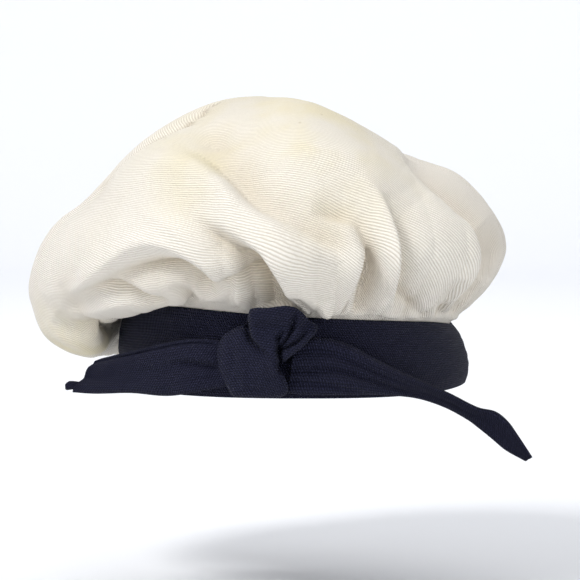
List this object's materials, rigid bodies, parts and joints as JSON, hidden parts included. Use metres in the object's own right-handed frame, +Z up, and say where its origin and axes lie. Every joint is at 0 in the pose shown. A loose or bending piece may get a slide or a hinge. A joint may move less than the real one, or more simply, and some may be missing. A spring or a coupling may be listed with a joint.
{
  "type": "sailor cap",
  "caption": "Soft cream twill cap with a full gathered crown in two panels, set in a navy sash band that is knotted at the back with a short and a long tail.",
  "frame": {"origin": "centre of the head opening, level with the sash's lower edge", "axes": "+Z up out of the head, -Y towards the back of the cap where the knot lies, +X towards the long tail"},
  "size_m": [0.2498, 0.2423, 0.1785],
  "materials": {
    "crown_twill": "matt cotton twill with a fine raised rib, lightly yellowed",
    "sash_cloth": "matt navy crepe weave"
  },
  "bodies": {
    "root": {"crown_back_panel": "crown_twill", "crown_front_panel": "crown_twill", "sash_band": "sash_cloth", "sash_knot": "sash_cloth", "left_tail": "sash_cloth", "right_tail": "sash_cloth"}
  },
  "joints": []
}
